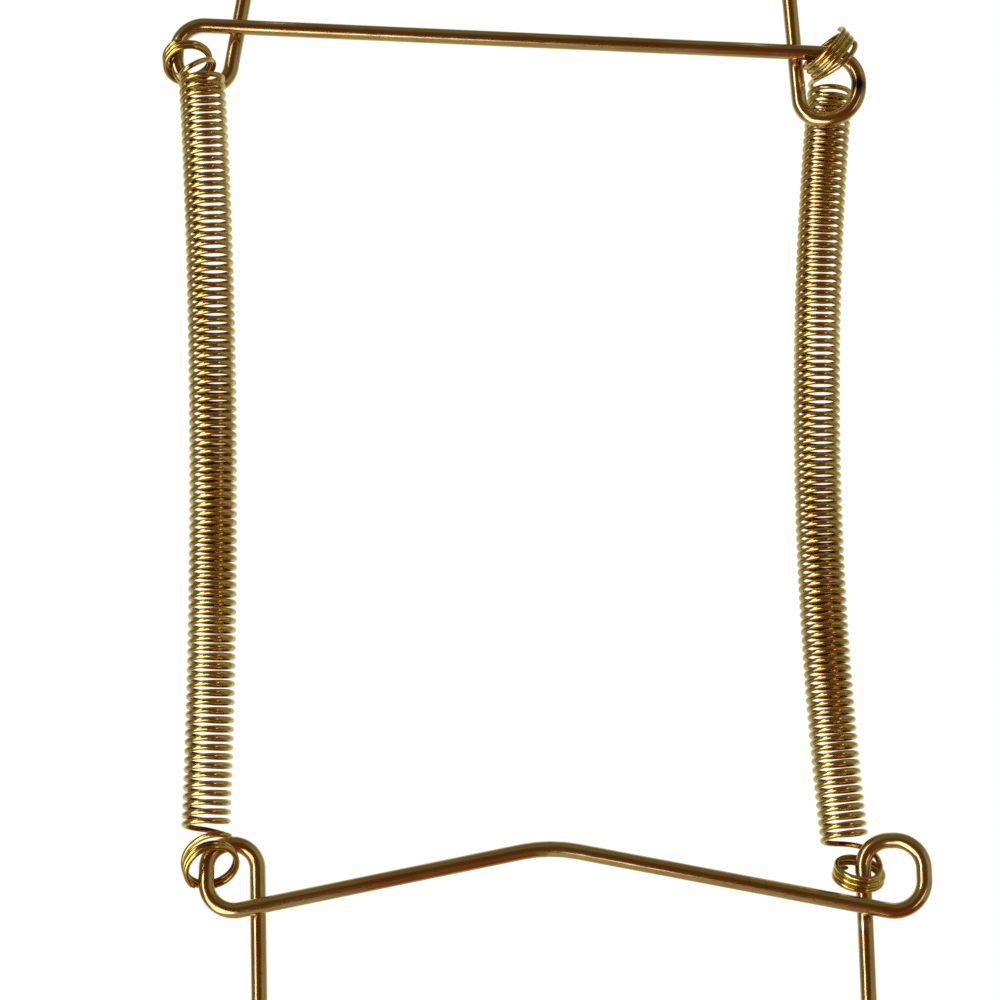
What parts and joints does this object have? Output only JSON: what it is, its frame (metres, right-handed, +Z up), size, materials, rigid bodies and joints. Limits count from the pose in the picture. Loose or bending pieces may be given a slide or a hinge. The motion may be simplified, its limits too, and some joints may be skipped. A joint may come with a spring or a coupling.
{
  "type": "plate display stand",
  "caption": "Wall-hung plate display stand of brass-plated wire, with looped bars, extension springs and sleeved claws that grip a plate's rim.",
  "frame": {"origin": "centre of the upper wire's straight crossbar, where it rests on a wall hook", "axes": "+Z up the wall, +X to the right for someone facing the plate, -Y out of the wall towards the plate and the viewer"},
  "size_m": [0.0995, 0.0214, 0.1871],
  "materials": {
    "brass_wire": "polished",
    "spring_wire": "polished",
    "vinyl": "satin"
  },
  "bodies": {
    "upper_frame": {"upper_wire": "brass_wire", "upper_left_sleeve": "vinyl", "upper_right_sleeve": "vinyl"},
    "spring_tops": {"left_spring": "spring_wire"},
    "spring_feet": {"right_spring": "spring_wire"},
    "lower_frame": {"lower_wire": "brass_wire", "lower_left_sleeve": "vinyl", "lower_right_sleeve": "vinyl"}
  },
  "joints": [
    {"name": "upper_swing", "type": "hinge", "parent": "upper_frame", "child": "spring_tops", "pos_m": [0, 0.0003, -0.0025], "axis": [1, 0, 0], "range_deg": [-40, 40]},
    {"name": "spring_stretch", "type": "slide", "parent": "spring_tops", "child": "spring_feet", "axis": [0, 0, -1], "range_m": [0, 0.05], "stiffness_N_per_m": 337, "deforming": ["left_spring", "right_spring"]},
    {"name": "lower_swing", "type": "hinge", "parent": "spring_feet", "child": "lower_frame", "pos_m": [0.004, 0.001, -0.1103], "axis": [1, 0, 0], "range_deg": [-40, 40]}
  ]
}
